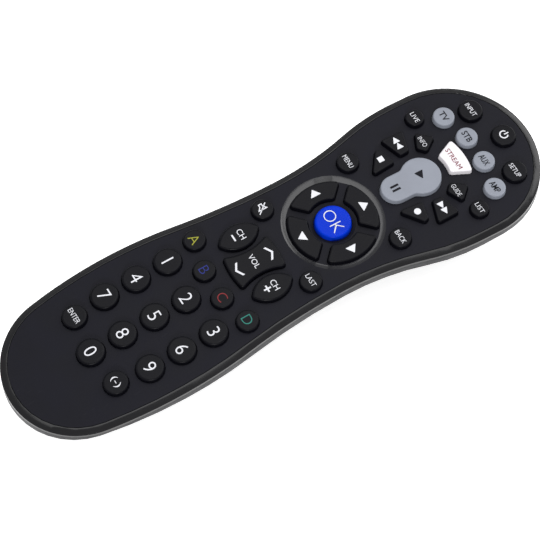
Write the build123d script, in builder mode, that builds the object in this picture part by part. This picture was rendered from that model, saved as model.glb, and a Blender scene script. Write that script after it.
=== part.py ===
from build123d import *
import os
from dataclasses import dataclass
from functools import partial
from math import acos, atan2, ceil, cos, degrees, radians, sin, sqrt, tan
from typing import Callable

# Universal remote control, in millimetres. +Y points from the keypad end to the head, +X to the
# right of someone holding it, +Z up. The origin is the centre of its footprint.

# outline of the body, seen from above
head_width = 58.4
waist_width = 45.4
keypad_width = 54.8
head_tip_y = 97.7
keypad_tip_y = -97.7
shoulder_y = 62.0
waist_y = 13.0
bulge_y = -49.0
end_radius = 25.5
bend_share = 0.41

# side view: an arched deck and sides, over a belly of three sloping bands
body_height = 24.0
deck_apex_y = -8.0
arch_radius = 1030.0
deck_flat_length = 16.5
side_height = 5.0
belly_heights = (9.5, 5.3)
belly_slopes = (25.0, 44.0, 64.0)
inner_belly_height = 10.0
inner_belly_slopes = (25.0, 56.0)
side_wall = 1.8
floor_wall = 1.5
overrun = 6.0

# round forms in straight runs: how far a run may lie from its arc, and how many make a circle
body_facet_height = 0.1
hidden_facet_height = 0.4
key_facet_height = 0.08
dish_sides = 36
cell_sides = 24
post_sides = 12
seat_gap = 0.2

# glossy bezel round the face plate, with a ledge under it
bezel_depth = 2.0
bezel_width = 2.3
bezel_slope_width = 1.7
bezel_slope_drop = 0.9
plate_thickness = 1.9
plate_gap = 0.2
ledge_width = 0.8
ledge_thickness = 0.9

# keys: a drafted cap that stands out of a drafted hole and is wider than it below
key_rise = 1.7
key_draft = 15.0
slim_draft = 6.0
blend_draft = 10.0
key_gap = 0.2
hole_clearance = 0.5
key_travel = 0.8
rocker_tilt = 2.5
key_skirt = 0.4
corner_round = 1.0

digit_diameter = 9.5
entry_diameter = 8.4
letter_diameter = 7.6
function_diameter = 7.5
small_diameter = 6.5
device_diameter = 7.5
input_diameter = 8.3
power_diameter = 8.3

# places of the round keys
digit_column_x = 14.67
digit_row_pitch = 11.66
first_row_y = -31.5
column_dip = 1.6
entry_x = 13.41
entry_y = -66.5
outer_letter_x = 16.75
outer_letter_y = -20.3
inner_letter_x = 5.66
inner_letter_y = -23.1
menu_x = 16.2
menu_y = 37.6
mute_x = 15.1
mute_y = 4.3
live_x = 19.75
live_y = 65.9
outer_device_x = 15.52
outer_device_y = 74.7
inner_device_x = 5.19
inner_device_y = 77.2
input_x = 13.37
input_y = 84.0
power_y = 88.4

# direction pad: a dished floor, four sector keys and a round key in its own small dish
pad_y = 22.0
pad_radius = 17.4
pad_slope_width = 1.9
pad_depth = 0.8
sector_outer_radius = 15.1
sector_inner_radius = 8.2
sector_gap = 2.9
ok_diameter = 12.2
ok_dish_radius = 7.5
ok_dish_depth = 0.4

# white key above the play key: an arc-shaped cap
stream_y = 68.2
stream_top_width = 13.8
stream_bottom_width = 7.4
stream_height = 7.0
stream_top_rise = 1.1
stream_bottom_rise = 0.6

# play and pause key: a large and a small lobe in one cap that rocks
play_y = 55.7
play_radius = 7.0
pause_y = 45.8
pause_radius = 5.0
lobe_blend = 2.0

# keys round the play key: corner points, each from the body's middle line and the pad's middle
guide_corners = ((6.6, 40.6), (9.3, 37.9), (15.1, 40.7), (10.4, 45.9))
forward_corners = ((9.7, 35.4), (9.5, 31.9), (18.0, 28.9), (17.8, 37.7))
record_corners = ((8.3, 29.1), (7.5, 19.5), (15.6, 25.7), (14.9, 27.4))

# volume rocker and the two leaf-shaped channel keys beside it
volume_y = -7.8
volume_height = 17.8
volume_width = 13.2
volume_waist = 9.3
volume_crown = 0.8
channel_x = 10.6
channel_y = -7.4
channel_width = 9.2
channel_height = 15.2
channel_round = 1.4

# circuit board, keypad mat and what they carry
board_thickness = 1.0
board_gap = 0.6
board_top_y = 90.6
board_bottom_y = -78.0
mat_thickness = 0.4
mat_gap = 1.0
post_width = 2.4
post_draft = 8.0
window_width = 15.0
window_height = 2.8
window_z = 14.4
emitter_diameter = 3.0
emitter_length = 5.3
lead_width = 0.5
lead_spacing = 2.54
lead_length = 0.5
chip_size = 9.0
chip_thickness = 1.6
chip_y = 34.0

# battery bay: two cells side by side, over a door in the back
cell_diameter = 10.5
cell_length = 44.5
cell_gap = 0.4
cell_nub_diameter = 3.8
cell_nub_length = 1.0
cell_room = 0.3
contact_thickness = 0.4
contact_width = 8.0
leaf_bulge = 3.2
leaf_width = 4.0
leaf_height_share = 0.88
tab_width = 2.0
tab_slot_gap = 0.2
bay_end_y = -79.5
bay_wall = 1.0
bay_side_wall = 3.0
door_thickness = 1.4
door_ledge = 2.0
door_corner = 2.4
door_gap = 0.25
tongue_width = 3.6
tongue_reach = 1.8
tongue_thickness = 1.0
latch_width = 8.0
latch_thickness = 1.0
latch_height = 3.6
recess_radius = 7.0
recess_depth = 0.6
recess_width = 12.0

# screw that pulls the face plate down at the keypad end
screw_y = -87.0
screw_diameter = 2.2
screw_gap = 0.1
screw_head_diameter = 4.0
screw_head_thickness = 1.4
screw_seat_height = 6.0
screw_length = 9.0
boss_diameter = 5.8
boss_joint_height = 13.5

os.makedirs("parts", exist_ok=True)


def finish(piece, name):
    """Label a finished piece and write its file."""
    piece.part.label = name
    export_step(piece.part, f"parts/{name}.step")


# Body forms that several pieces share


def arch_height(y, drop=0):
    """Height of the deck's arch, or of a parallel arch below it."""
    radius = arch_radius - drop
    return body_height - arch_radius + sqrt(radius**2 - (y - deck_apex_y) ** 2)


def body_outline(swell=0):
    """The body's outline. A swell moves it out, in proportion to how far the deck has dropped."""

    def grown(y):
        return swell * (body_height - arch_height(y))

    head_radius = head_width / 2 + grown(shoulder_y)
    top = head_tip_y + grown(head_tip_y)
    shoulder = Vector(head_radius, shoulder_y)
    waist = Vector(waist_width / 2 + grown(waist_y), waist_y)
    bulge = Vector(keypad_width / 2 + grown(bulge_y), bulge_y)
    upper_bend = shoulder + (waist - shoulder) * bend_share
    lower_bend = bulge + (waist - bulge) * bend_share
    bottom = keypad_tip_y - grown(keypad_tip_y)
    end_centre = Vector(0, bottom + end_radius)
    rise = bulge_y - end_centre.Y
    bulge_radius = (rise**2 + bulge.X**2 - end_radius**2) / (bulge.X - end_radius) / 2
    bulge_centre = bulge - Vector(bulge_radius, 0)
    end_touch = bulge_centre + (end_centre - bulge_centre).normalized() * bulge_radius
    with BuildSketch() as plan:
        with BuildLine() as edge_line:
            RadiusArc((0, top), (head_radius, top - head_radius), head_radius)
            Line((head_radius, top - head_radius), shoulder)
            TangentArc(shoulder, upper_bend, tangent=(0, -1))
            TangentArc(upper_bend, waist, tangent=edge_line.edges()[-1] % 1)
            TangentArc(waist, lower_bend, tangent=(0, -1))
            TangentArc(lower_bend, bulge, tangent=edge_line.edges()[-1] % 1)
            TangentArc(bulge, end_touch, tangent=(0, -1))
            TangentArc(end_touch, (0, bottom), tangent=edge_line.edges()[-1] % 1)
            mirror(about=Plane.YZ)
        make_face()
    return plan.sketch


def draw_inset(shape, inset):
    """Draw a shape, moved inwards by inset."""
    add(shape)
    if inset:
        offset(amount=-inset, kind=Kind.INTERSECTION, mode=Mode.REPLACE)


def facet_corners(shape, height):
    """Corners of a shape with its arcs in straight runs, none further than height from its arc."""
    corners = []
    for edge in shape.wire().order_edges():
        runs = 1
        if edge.geom_type == GeomType.CIRCLE:
            runs = ceil(edge.length / edge.radius / acos(1 - height / edge.radius) / 2)
        corners += [edge @ (i / runs) for i in range(runs)]
    turn = sum(corners[i - 1].cross(corners[i]).Z for i in range(len(corners)))
    return corners if turn > 0 else corners[::-1]


def faceted(shape, height):
    """The shape that those corners make."""
    with BuildSketch() as facets:
        with BuildLine() as edge_line:
            Polyline(*facet_corners(shape, height), close=True)
        make_face(edge_line.edges())
    return facets.sketch


def mitred(corners, amount):
    """The corners of an outline, moved out by amount with every corner kept sharp."""
    moved = []
    for i, corner in enumerate(corners):
        arrive = (corner - corners[i - 1]).normalized()
        leave = (corners[(i + 1) % len(corners)] - corner).normalized()
        out = (arrive + leave).cross(Vector(0, 0, 1))
        moved.append(corner + out * (amount / (1 + arrive.dot(leave))))
    return moved


def draw_disc(diameter, sides):
    """Draw a round section in straight runs."""
    RegularPolygon(diameter / 2, sides)


outline = body_outline()
inner_outline = faceted(outline, body_facet_height)
hidden_outline = faceted(outline, hidden_facet_height)
swollen_outline = body_outline(tan(radians(belly_slopes[0])))
belly_outline = faceted(swollen_outline, body_facet_height)
hollow_outline = faceted(swollen_outline, hidden_facet_height)
belly_top = body_height - side_height

body_length = head_tip_y - keypad_tip_y
flat_count = ceil(body_length / deck_flat_length)
flat_ends = [keypad_tip_y + i * body_length / flat_count for i in range(flat_count + 1)]


def deck_plane(x, y, sunk=0):
    """Plane on the deck's flat under a place, with its normal up and out of the deck."""
    index = min(int((y - keypad_tip_y) / body_length * flat_count), flat_count - 1)
    start, end = flat_ends[index], flat_ends[index + 1]
    slope = (arch_height(end) - arch_height(start)) / (end - start)
    height = arch_height(start) + slope * (y - start)
    tilt = atan2(-slope, 1)
    return Plane(origin=(x, y, height), x_dir=(1, 0, 0), z_dir=(0, sin(tilt), cos(tilt))).offset(-sunk)


def under_flats(drop):
    """Everything below the flats of the deck, moved down by drop."""
    with BuildPart() as stock:
        with BuildSketch(Plane.YZ):
            with BuildLine():
                arch = Polyline(*[(y, arch_height(y) - drop) for y in flat_ends])
                Polyline(arch @ 1, (head_tip_y, -overrun), (keypad_tip_y, -overrun), arch @ 0)
            make_face()
        extrude(amount=head_width, both=True)
    return stock.part


def between_flats(upper_drop, lower_drop):
    """The layer between two depths under the deck."""
    with BuildPart() as layer:
        add(under_flats(upper_drop))
        add(under_flats(lower_drop), mode=Mode.SUBTRACT)
    return layer.part


def prism(shape, inset, bottom, top):
    """A shape drawn in by inset and raised from one height to another."""
    with BuildPart() as form:
        with BuildSketch(Plane.XY.offset(bottom)):
            draw_inset(shape, inset)
        extrude(amount=top - bottom)
    return form.part


def belly(shape, inset, heights, slopes, bottom):
    """A form that is upright above the belly and draws in below it in sloping bands."""
    ends = [belly_top - sum(heights[: i + 1]) for i in range(len(heights))] + [bottom]
    top = belly_top
    drawn_in = inset
    with BuildPart() as form:
        for end, slope in zip(ends, slopes):
            with BuildSketch(Plane.XY.offset(-top)):
                draw_inset(shape, drawn_in)
            extrude(amount=top - end, taper=slope)
            drawn_in += (top - end) * tan(radians(slope))
            top = end
        mirror(about=Plane.XY, mode=Mode.REPLACE)
        add(prism(shape, inset, belly_top, body_height + overrun))
    return form.part


skin = belly(belly_outline, 0, belly_heights, belly_slopes, 0)
hollow = belly(hollow_outline, side_wall, (inner_belly_height,), inner_belly_slopes, floor_wall)


# Keys


@dataclass
class Key:
    """A key: its outline at deck level, its place, and how far the deck is sunk there."""

    name: str
    draw: Callable
    x: float
    y: float
    sunk: float = 0
    draft: float = key_draft
    travel: float = key_travel
    posts: tuple = ((0, 0),)

    def __post_init__(self):
        with BuildSketch() as shape:
            self.draw()
        self.corners = facet_corners(shape.sketch, key_facet_height)
        self.plane = deck_plane(self.x, self.y, self.sunk)
        self.depth = plate_thickness - self.sunk + key_skirt

    def form(self, depth, rise, gap=0):
        """The drafted form from a depth under the deck to a rise above it, with a gap round it."""
        rings = []
        for drop in (depth, -rise):
            plane = self.plane.offset(-drop)
            swell = gap + drop * tan(radians(self.draft))
            rings.append([plane.from_local_coords(corner) for corner in mitred(self.corners, swell)])
        low, high = rings
        sides = [[low[i - 1], low[i], high[i], high[i - 1]] for i in range(len(low))]
        return Solid(Shell([Face(Wire.make_polygon(ring)) for ring in rings + sides]))

    def hole(self):
        """What the face plate leaves open for the key."""
        return self.form(plate_thickness - self.sunk + hole_clearance, hole_clearance, key_gap)


def draw_round(diameter):
    Circle(diameter / 2)


def draw_corners(corners, side, centre):
    """A key with straight sides, from corner points on the right half of the body."""
    with BuildLine() as edge_line:
        Polyline(*[(side * (x - centre[0]), y - centre[1]) for x, y in corners], close=True)
    make_face(edge_line.edges())
    fillet(vertices(), radius=corner_round)


def draw_sector(turn):
    """One sector of the direction pad, between the diagonals, turned from the upper one."""
    start = sector_gap / sqrt(2)
    with BuildSketch(mode=Mode.PRIVATE) as wedge:
        with BuildLine():
            end = start + pad_radius
            Polyline((0, start), (pad_radius, end), (-pad_radius, end), close=True)
        make_face()
    Circle(sector_outer_radius)
    Circle(sector_inner_radius, mode=Mode.SUBTRACT)
    add(wedge.sketch, rotation=turn, mode=Mode.INTERSECT)
    fillet(vertices(), radius=corner_round)


def draw_stream():
    half_top = stream_top_width / 2
    half_bottom = stream_bottom_width / 2
    half_height = stream_height / 2
    with BuildLine() as edge_line:
        ends = ((-half_top, half_height), (half_top, half_height))
        top = ThreePointArc(ends[0], (0, half_height + stream_top_rise), ends[1])
        ends = ((half_bottom, -half_height), (-half_bottom, -half_height))
        bottom = ThreePointArc(ends[0], (0, stream_bottom_rise - half_height), ends[1])
        Line(top @ 1, bottom @ 0)
        Line(bottom @ 1, top @ 0)
    make_face(edge_line.edges())
    fillet(vertices(), radius=corner_round)


def draw_lobes():
    """The play lobe above the middle and the pause lobe below it."""
    half = (play_y - pause_y) / 2
    with Locations((0, half)):
        Circle(play_radius)
    with Locations((0, -half)):
        Circle(pause_radius)
    Rectangle(pause_radius * 2, half * 2)
    neck = vertices().filter_by(lambda v: -half < v.Y < half)
    fillet(neck, radius=lobe_blend)


def draw_volume():
    half_width = volume_width / 2
    half_height = volume_height / 2 - volume_crown
    with BuildLine() as edge_line:
        top = ThreePointArc((-half_width, half_height), (0, volume_height / 2), (half_width, half_height))
        right = ThreePointArc(top @ 1, (volume_waist / 2, 0), (half_width, -half_height))
        bottom = ThreePointArc(right @ 1, (0, -volume_height / 2), (-half_width, -half_height))
        ThreePointArc(bottom @ 1, (-volume_waist / 2, 0), top @ 0)
    make_face(edge_line.edges())
    fillet(vertices(), radius=corner_round)


def draw_leaf():
    half_width = channel_width / 2
    half_height = channel_height / 2
    with BuildLine() as edge_line:
        right = ThreePointArc((0, half_height), (half_width, 0), (0, -half_height))
        ThreePointArc(right @ 1, (-half_width, 0), right @ 0)
    make_face(edge_line.edges())
    fillet(vertices(), radius=channel_round)


def round_key(name, diameter, x, y, sunk=0):
    return Key(name, partial(draw_round, diameter), x, y, sunk)


def corner_key(name, corners, side):
    centre = [sum(corner[i] for corner in corners) / len(corners) for i in (0, 1)]
    return Key(name, partial(draw_corners, corners, side, centre), side * centre[0], pad_y + centre[1])


keys = [
    round_key("power_key", power_diameter, 0, power_y),
    round_key("ok_key", ok_diameter, 0, pad_y, pad_depth),
    round_key("digit_0_key", digit_diameter, 0, first_row_y - column_dip - 3 * digit_row_pitch),
    Key("stream_key", draw_stream, 0, stream_y, draft=blend_draft),
]
for row in range(3):
    for column in (-1, 0, 1):
        name = f"digit_{3 * row + column + 2}_key"
        y = first_row_y - row * digit_row_pitch - (0 if column else column_dip)
        keys.append(round_key(name, digit_diameter, column * digit_column_x, y))
for left_name, right_name, diameter, x, y in (
    ("enter_key", "dash_key", entry_diameter, entry_x, entry_y),
    ("letter_a_key", "letter_d_key", letter_diameter, outer_letter_x, outer_letter_y),
    ("letter_b_key", "letter_c_key", letter_diameter, inner_letter_x, inner_letter_y),
    ("menu_key", "back_key", function_diameter, menu_x, menu_y),
    ("mute_key", "last_key", function_diameter, mute_x, mute_y),
    ("live_key", "list_key", small_diameter, live_x, live_y),
    ("device_1_key", "device_4_key", device_diameter, outer_device_x, outer_device_y),
    ("device_2_key", "device_3_key", device_diameter, inner_device_x, inner_device_y),
    ("input_key", "setup_key", input_diameter, input_x, input_y),
):
    keys += [round_key(left_name, diameter, -x, y), round_key(right_name, diameter, x, y)]
for left_name, right_name, corners in (
    ("info_key", "guide_key", guide_corners),
    ("rewind_key", "fast_forward_key", forward_corners),
    ("stop_key", "record_key", record_corners),
):
    keys += [corner_key(left_name, corners, -1), corner_key(right_name, corners, 1)]
for name, side in (("channel_down_key", -1), ("channel_up_key", 1)):
    keys.append(Key(name, draw_leaf, side * channel_x, channel_y, draft=slim_draft))
for turn, name in ((0, "up_key"), (90, "left_key"), (180, "down_key"), (270, "right_key")):
    middle = (sector_outer_radius + sector_inner_radius) / 2
    foot = (-middle * sin(radians(turn)), middle * cos(radians(turn)))
    keys.append(Key(name, partial(draw_sector, turn), 0, pad_y, pad_depth, posts=(foot,)))

for name, draw, y, draft, reach in (
    ("volume_key", draw_volume, volume_y, slim_draft, volume_height / 3),
    ("play_pause_key", draw_lobes, (play_y + pause_y) / 2, blend_draft, (play_y - pause_y) / 2),
):
    dip = reach * tan(radians(rocker_tilt))
    keys.append(Key(name, draw, 0, y, draft=draft, travel=dip, posts=((0, reach), (0, -reach))))

for key in keys:
    with BuildPart() as cap:
        add(key.form(key.depth, key_rise))
    finish(cap, key.name)


# Bezel and face plate


def screw_post(diameter, bottom, top):
    """A post on the screw's axis."""
    with BuildPart() as post:
        with BuildSketch(Plane.XY.offset(bottom)):
            with Locations((0, screw_y)):
                draw_disc(diameter, post_sides)
        extrude(amount=top - bottom)
    return post.part


with BuildPart() as top_bezel:
    with BuildSketch(Plane.XY.offset(belly_top - side_height)):
        add(outline)
    extrude(amount=side_height * 3)
    with BuildSketch(Plane.YZ):
        with Locations((deck_apex_y, body_height - arch_radius)):
            Circle(arch_radius)
    extrude(amount=head_width, both=True, mode=Mode.INTERSECT)
    deck = top_bezel.faces().sort_by(Axis.Z)[-1]
    chamfer(deck.edges(), length=bezel_slope_width, length2=bezel_slope_drop, reference=deck)
    add(under_flats(bezel_depth), mode=Mode.SUBTRACT)
    add(prism(inner_outline, bezel_width, 0, body_height + overrun), mode=Mode.SUBTRACT)
    with BuildPart(mode=Mode.PRIVATE) as ledge:
        add(prism(hidden_outline, side_wall + seat_gap, 0, body_height))
        inside = prism(hidden_outline, bezel_width + ledge_width, -overrun, body_height + overrun)
        add(inside, mode=Mode.SUBTRACT)
        add(between_flats(plate_thickness, plate_thickness + ledge_thickness), mode=Mode.INTERSECT)
    add(ledge.part)
finish(top_bezel, "top_bezel")

with BuildPart() as face_plate:
    add(prism(inner_outline, bezel_width + plate_gap, 0, body_height + overrun))
    add(between_flats(0, plate_thickness), mode=Mode.INTERSECT)
    pad = deck_plane(0, pad_y)
    pad_slope = degrees(atan2(pad_slope_width, pad_depth))
    dish_slope = degrees(atan2(ok_dish_radius - ok_diameter / 2 - key_gap, ok_dish_depth))
    with BuildSketch(pad.offset(-pad_depth)):
        draw_disc(2 * (pad_radius - pad_slope_width), dish_sides)
    extrude(amount=pad_depth * 2, taper=-pad_slope, mode=Mode.SUBTRACT)
    with BuildSketch(pad.offset(-pad_depth - ok_dish_depth)):
        draw_disc(ok_diameter + 2 * key_gap, dish_sides)
    extrude(amount=ok_dish_depth, taper=-dish_slope, mode=Mode.SUBTRACT)
    add([key.hole() for key in keys], mode=Mode.SUBTRACT)
    add(screw_post(boss_diameter, boss_joint_height, arch_height(screw_y) - plate_thickness / 2))
    bore_top = screw_seat_height + screw_length + seat_gap
    add(screw_post(screw_diameter + 2 * screw_gap, boss_joint_height, bore_top), mode=Mode.SUBTRACT)
finish(face_plate, "face_plate")


# Battery bay and door: sizes worked out from the cells

cell_x = (cell_diameter + cell_gap) / 2
cell_z = door_thickness + cell_room + cell_diameter / 2
bay_half_width = cell_x + cell_diameter / 2 + cell_room
bay_top = cell_z + cell_diameter / 2 + cell_room
bay_length = cell_length + leaf_bulge + 2 * contact_thickness + cell_room
bay_start_y = bay_end_y + bay_length
bay_middle_y = (bay_end_y + bay_start_y) / 2
door_half_width = bay_half_width + door_ledge
door_top_y = bay_start_y + door_ledge
board_height = bay_top + bay_wall + seat_gap
mat_height = board_height + board_thickness


def box(x_range, y_range, z_range, corner=0):
    """A block between two ends on each axis, with round upright corners where asked."""
    with BuildPart() as block:
        with BuildSketch(Plane.XY.offset(z_range[0])):
            with Locations((sum(x_range) / 2, sum(y_range) / 2)):
                size = (x_range[1] - x_range[0], y_range[1] - y_range[0])
                if corner:
                    RectangleRounded(*size, corner)
                else:
                    Rectangle(*size)
        extrude(amount=z_range[1] - z_range[0])
    return block.part


def centred(size, middle=0):
    """The two ends of a length about its middle."""
    return (middle - size / 2, middle + size / 2)


def door_form(gap, rise):
    """All that lies inside the door's outline and below the skin form lifted by rise."""
    x_range = centred(2 * (door_half_width + gap))
    y_range = (bay_end_y - gap, door_top_y + gap)
    with BuildPart() as form:
        add(box(x_range, y_range, (-overrun, bay_top), door_corner + gap))
        add(skin.moved(Location((0, 0, rise))), mode=Mode.SUBTRACT)
    return form.part


# Bottom housing: the belly's shell, with the battery tray and the screw boss inside

tray_x = centred(2 * (bay_half_width + bay_side_wall))
tray_y = (bay_end_y - bay_side_wall, bay_start_y + bay_side_wall)
window_box = box(centred(window_width), (head_tip_y - overrun, head_tip_y), centred(window_height, window_z))
tongue_z = (floor_wall + seat_gap, floor_wall + seat_gap + tongue_thickness)
tongue_swing = sqrt(tongue_reach**2 + tongue_z[1] ** 2)
latch_y = (door_top_y - latch_thickness, door_top_y)
tab_y = (bay_start_y - contact_thickness, bay_start_y)
contact_height = 2 * (cell_z - tongue_swing - 2 * seat_gap)

with BuildPart() as bottom_housing:
    add(prism(outline, 0, 0, body_height))
    add(skin, mode=Mode.INTERSECT)
    add(under_flats(bezel_depth), mode=Mode.INTERSECT)
    with BuildPart(mode=Mode.PRIVATE) as cavity:
        add(prism(hidden_outline, side_wall, 0, body_height))
        add(hollow, mode=Mode.INTERSECT)
        add(box(tray_x, tray_y, (-overrun, bay_top + bay_wall)), mode=Mode.SUBTRACT)
        add(screw_post(boss_diameter, -overrun, boss_joint_height), mode=Mode.SUBTRACT)
    add(cavity.part, mode=Mode.SUBTRACT)
    add(box(centred(2 * bay_half_width), (bay_end_y, bay_start_y), (-overrun, bay_top)), mode=Mode.SUBTRACT)
    add(door_form(door_gap, door_thickness + seat_gap), mode=Mode.SUBTRACT)
    slot_z = (floor_wall, tongue_swing + seat_gap)
    slot_y = (bay_end_y - tongue_reach - seat_gap, bay_end_y)
    add(box(centred(tongue_width + 2 * door_gap), slot_y, slot_z), mode=Mode.SUBTRACT)
    pocket_y = (latch_y[0] - seat_gap, latch_y[1] + door_gap)
    pocket_z = (0, door_thickness + latch_height + seat_gap)
    add(box(centred(latch_width + 2 * door_gap), pocket_y, pocket_z), mode=Mode.SUBTRACT)
    for side in (-1, 1):
        slot_x = centred(tab_width + 2 * tab_slot_gap, side * cell_x)
        slot_y = (tab_y[0] - tab_slot_gap, tab_y[1])
        add(box(slot_x, slot_y, (cell_z, board_height)), mode=Mode.SUBTRACT)
    add(window_box, mode=Mode.SUBTRACT)
    add(screw_post(screw_diameter + 2 * screw_gap, -overrun, body_height), mode=Mode.SUBTRACT)
    head_bore = screw_post(screw_head_diameter + 2 * screw_gap, -overrun, screw_seat_height)
    add(head_bore, mode=Mode.SUBTRACT)
finish(bottom_housing, "bottom_housing")

with BuildPart() as battery_door:
    add(door_form(0, door_thickness))
    add(skin, mode=Mode.INTERSECT)
    tongue_y = (bay_end_y - tongue_reach, bay_end_y + tongue_thickness)
    add(box(centred(tongue_width), tongue_y, tongue_z))
    add(box(centred(tongue_width), (bay_end_y, tongue_y[1]), (floor_wall / 2, tongue_z[1])))
    add(box(centred(latch_width), latch_y, (door_thickness / 2, door_thickness + latch_height)))
    with BuildSketch(Plane.YZ):
        with Locations((door_top_y - recess_radius, recess_depth - recess_radius)):
            Circle(recess_radius)
    extrude(amount=recess_width / 2, both=True, mode=Mode.SUBTRACT)
finish(battery_door, "battery_door")

with BuildPart() as ir_window:
    add(prism(outline, 0, 0, body_height))
    add(skin, mode=Mode.INTERSECT)
    add(prism(outline, side_wall, 0, body_height), mode=Mode.SUBTRACT)
    add(window_box, mode=Mode.INTERSECT)
finish(ir_window, "ir_window")

with BuildPart() as case_screw:
    add(screw_post(screw_diameter, screw_seat_height, screw_seat_height + screw_length))
    add(screw_post(screw_head_diameter, screw_seat_height - screw_head_thickness, screw_seat_height))
finish(case_screw, "case_screw")


# Cells and their contacts


def make_cell(side):
    """A cell lying along Y, its nub towards the head on the left and the keypad end on the right."""
    can_length = cell_length - cell_nub_length
    if side < 0:
        nub_y = bay_start_y - contact_thickness - cell_room / 2
    else:
        nub_y = bay_end_y + contact_thickness + cell_room / 2
    with BuildPart() as cell:
        shoulder = Plane(origin=(side * cell_x, nub_y + side * cell_nub_length, cell_z), z_dir=(0, side, 0))
        with BuildSketch(shoulder):
            draw_disc(cell_diameter, cell_sides)
        extrude(amount=can_length)
        with BuildSketch(shoulder):
            draw_disc(cell_nub_diameter, post_sides)
        extrude(amount=-cell_nub_length)
    return cell


def add_plate(x_size, x, y_range):
    """A flat contact plate against an end wall of the bay."""
    add(box(centred(x_size, x), y_range, centred(contact_height, cell_z)))


def add_leaf(x, y, direction):
    """A bowed spring leaf that reaches from a plate's face towards a cell."""
    half = contact_height * leaf_height_share / 2
    inner_half = half - contact_thickness
    tip = y + direction * leaf_bulge
    with BuildPart() as leaf:
        with BuildSketch(Plane.YZ.offset(x)):
            with BuildLine():
                outer = ThreePointArc((y, cell_z - half), (tip, cell_z), (y, cell_z + half))
                inner_tip = tip - direction * contact_thickness
                inner = ThreePointArc((y, cell_z + inner_half), (inner_tip, cell_z), (y, cell_z - inner_half))
                Line(outer @ 1, inner @ 0)
                Line(inner @ 1, outer @ 0)
            make_face()
        extrude(amount=leaf_width / 2, both=True)
    add(leaf.part)


def add_tab(x):
    """A solder tab from a plate up to the board."""
    add(box(centred(tab_width, x), tab_y, (cell_z, board_height)))


finish(make_cell(-1), "left_cell")
finish(make_cell(1), "right_cell")

bridge_y = (bay_end_y, bay_end_y + contact_thickness)
with BuildPart() as bridge_contact:
    add_plate(2 * cell_x + contact_width, 0, bridge_y)
    add_leaf(-cell_x, bridge_y[1], 1)
finish(bridge_contact, "bridge_contact")

with BuildPart() as positive_contact:
    add_plate(contact_width, -cell_x, tab_y)
    add_tab(-cell_x)
finish(positive_contact, "positive_contact")

with BuildPart() as negative_contact:
    add_plate(contact_width, cell_x, tab_y)
    add_tab(cell_x)
    add_leaf(cell_x, tab_y[0], -1)
finish(negative_contact, "negative_contact")


# Circuit board, mat and the pieces on the board


def inset_at(height):
    """How far the hollow has drawn in from the belly's outline at a height."""
    return side_wall + (belly_top - height) * tan(radians(inner_belly_slopes[0]))


def sheet(bottom, thickness, gap):
    """A flat sheet that fills the hollow at its height, with a gap round it."""
    with BuildPart() as layer:
        add(prism(hollow_outline, inset_at(bottom) + gap, bottom, bottom + thickness))
        y_range = (board_bottom_y + gap, board_top_y - gap)
        add(box(centred(head_width), y_range, (bottom, bottom + thickness)), mode=Mode.INTERSECT)
    return layer.part


with BuildPart() as circuit_board:
    add(sheet(board_height, board_thickness, board_gap))
finish(circuit_board, "circuit_board")


def mat_post(key, place):
    """A post that reaches from the mat to just short of a key's foot when the key is pressed."""
    top = key.plane.offset(-key.depth - key.travel - seat_gap).from_local_coords((*place, 0))
    with BuildPart() as post:
        with BuildSketch(Plane.XY.offset(mat_height)):
            with Locations((top.X, top.Y)):
                Rectangle(post_width, post_width)
        extrude(amount=top.Z - mat_height, taper=post_draft)
    return post.part


with BuildPart() as keypad_mat:
    add(sheet(mat_height, mat_thickness, mat_gap))
    add([mat_post(key, place) for key in keys for place in key.posts])
finish(keypad_mat, "keypad_mat")

with BuildPart() as control_chip:
    add(box(centred(chip_size), centred(chip_size, chip_y), (board_height - chip_thickness, board_height)))
finish(control_chip, "control_chip")

emitter_y = board_top_y - board_gap + seat_gap
with BuildPart() as ir_emitter:
    with BuildSketch(Plane(origin=(0, emitter_y, window_z), z_dir=(0, 1, 0))):
        draw_disc(emitter_diameter, post_sides)
    extrude(amount=emitter_length)
    for side in (-1, 1):
        lead_y = (emitter_y - lead_length, emitter_y + lead_width)
        add(box(centred(lead_width, side * lead_spacing / 2), lead_y, (mat_height, mat_height + lead_width)))
finish(ir_emitter, "ir_emitter")
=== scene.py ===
"""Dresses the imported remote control: keys, prints, shells, insides, floor, lights and camera."""

import logging
import math
from dataclasses import dataclass, field
from enum import Enum
from typing import Union

import bpy
from mathutils import Matrix, Vector


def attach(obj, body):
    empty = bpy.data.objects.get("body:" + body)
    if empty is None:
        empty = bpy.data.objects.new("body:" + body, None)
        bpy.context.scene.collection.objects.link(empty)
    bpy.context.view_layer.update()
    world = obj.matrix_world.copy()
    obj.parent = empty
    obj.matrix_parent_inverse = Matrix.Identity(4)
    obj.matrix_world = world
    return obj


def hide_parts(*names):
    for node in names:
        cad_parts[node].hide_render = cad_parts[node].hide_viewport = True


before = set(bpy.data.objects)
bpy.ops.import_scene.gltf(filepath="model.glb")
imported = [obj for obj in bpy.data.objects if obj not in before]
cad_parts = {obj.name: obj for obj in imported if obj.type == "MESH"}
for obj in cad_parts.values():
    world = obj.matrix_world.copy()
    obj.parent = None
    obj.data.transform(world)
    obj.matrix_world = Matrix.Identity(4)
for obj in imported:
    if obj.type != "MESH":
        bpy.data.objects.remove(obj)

Point = tuple[float, float]
Colour = tuple[float, float, float]
Value = Union["Wire", float, tuple]

MM = 0.001  # metres
SHORTEST_RUN = 0.04  # mm between neighbours of an outline, so that insets make no spike
log = logging.getLogger("remote_control")


# Materials


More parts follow.
